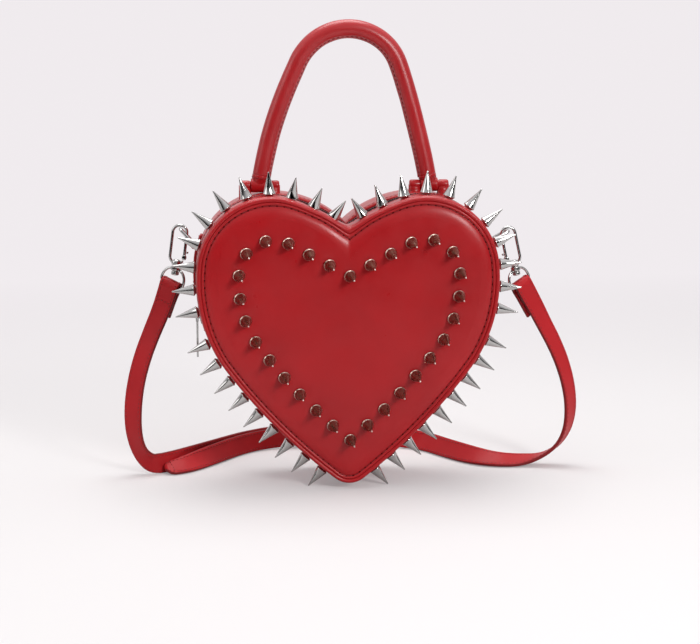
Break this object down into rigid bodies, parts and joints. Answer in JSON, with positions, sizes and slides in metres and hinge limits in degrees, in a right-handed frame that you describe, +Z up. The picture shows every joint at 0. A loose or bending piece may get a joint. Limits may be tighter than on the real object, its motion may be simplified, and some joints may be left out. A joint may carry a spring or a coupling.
{
  "type": "heart shaped purse",
  "caption": "Heart shaped hard purse with a zip opening, rows of cone spikes, a rolled top handle and a clip-on shoulder strap lying on the floor behind it.",
  "frame": {"origin": "on the floor under the middle of the bag's box, strap and its clasps left out", "axes": "+X to the viewer's right facing the front, +Y to the back, +Z up; the front faces -Y"},
  "size_m": [0.3327, 0.1557, 0.3251],
  "materials": {
    "red_leather": "smooth, soft gloss",
    "strap_leather": "smooth, soft gloss",
    "board": "matte board",
    "lining": "woven, matte",
    "zip_tape": "woven, matte",
    "zip_coil": "satin",
    "handle_filling": "matte cord",
    "spike_metal": "polished",
    "polished_metal": "polished"
  },
  "bodies": {
    "bag": {"back_panel": "red_leather", "back_stiffener": "board", "back_lining": "lining", "back_piping": "red_leather", "rear_band": "red_leather", "rear_band_lining": "lining", "rear_zip_tape": "zip_tape", "rear_zip_coil": "zip_coil", "zip_stops": "polished_metal", "lower_gusset": "red_leather", "lower_gusset_lining": "lining", "left_handle_bar": "red_leather", "right_handle_bar": "red_leather", "left_ring_tab": "red_leather", "right_ring_tab": "red_leather", "left_eye": "polished_metal", "right_eye": "polished_metal", "strap_left": "strap_leather", "strap_right": "strap_leather", "strap_slide": "polished_metal"},
    "front_cover": {"front_panel": "red_leather", "front_stiffener": "board", "front_lining": "lining", "front_piping": "red_leather", "front_band": "red_leather", "front_band_lining": "lining", "front_zip_tape": "zip_tape", "front_zip_coil": "zip_coil", "front_spikes": "spike_metal", "upper_spikes": "spike_metal", "lower_spikes": "spike_metal", "front_spike_screws": "polished_metal", "upper_spike_screws": "polished_metal", "lower_spike_screws": "polished_metal"},
    "handle": {"handle_cover": "red_leather", "handle_core": "handle_filling", "left_handle_loop": "red_leather", "right_handle_loop": "red_leather"},
    "zip_slider": {"zip_slider": "polished_metal"},
    "zip_pull": {"zip_pull": "polished_metal"},
    "left_ring": {"left_ring": "polished_metal"},
    "right_ring": {"right_ring": "polished_metal"},
    "left_clasp": {"left_hook": "polished_metal", "left_gate_pin": "polished_metal"},
    "right_clasp": {"right_hook": "polished_metal", "right_gate_pin": "polished_metal"},
    "left_gate": {"left_gate": "polished_metal"},
    "right_gate": {"right_gate": "polished_metal"}
  },
  "joints": [
    {"name": "front_open", "type": "hinge", "parent": "bag", "child": "front_cover", "pos_m": [0, 0.0005, 0.1133], "axis": [1, 0, 0], "range_deg": [0, 15], "deforming": ["lower_gusset", "lower_gusset_lining"]},
    {"name": "zip_travel", "type": "hinge", "parent": "bag", "child": "zip_slider", "pos_m": [0.00432, 0.0005, 0.14704], "axis": [0, 1, 0], "range_deg": [0, 19], "deforming": ["front_zip_coil", "rear_zip_coil"]},
    {"name": "pull_swing", "type": "hinge", "parent": "zip_slider", "child": "zip_pull", "pos_m": [-0.10476, 0.0005, 0.12053], "axis": [0, 1, 0], "range_deg": [0, 140]},
    {"name": "handle_swing", "type": "hinge", "parent": "bag", "child": "handle", "pos_m": [0, 0.0155, 0.2103], "axis": [1, 0, 0], "range_deg": [-75, 50]},
    {"name": "left_ring_swing", "type": "hinge", "parent": "bag", "child": "left_ring", "pos_m": [-0.10587, 0.0245, 0.16803], "axis": [0, -1, 0], "range_deg": [0, 10]},
    {"name": "left_swivel", "type": "hinge", "parent": "bag", "child": "left_clasp", "pos_m": [-0.12011, 0.0245, 0.14774], "axis": [0.1323, 0, 0.9912], "range_deg": [-12, 12]},
    {"name": "left_gate_open", "type": "hinge", "parent": "left_clasp", "child": "left_gate", "pos_m": [-0.1136, 0.0245, 0.15868], "axis": [0, -1, 0], "range_deg": [0, 30], "stiffness_Nm_per_rad": 0.02},
    {"name": "right_ring_swing", "type": "hinge", "parent": "bag", "child": "right_ring", "pos_m": [0.10587, 0.0245, 0.16803], "axis": [0, 1, 0], "range_deg": [0, 10]},
    {"name": "right_swivel", "type": "hinge", "parent": "bag", "child": "right_clasp", "pos_m": [0.1256, 0.0245, 0.14479], "axis": [-0.2164, 0, 0.9763], "range_deg": [-12, 12]},
    {"name": "right_gate_open", "type": "hinge", "parent": "right_clasp", "child": "right_gate", "pos_m": [0.11818, 0.0245, 0.15513], "axis": [0, 1, 0], "range_deg": [0, 30], "stiffness_Nm_per_rad": 0.02}
  ]
}
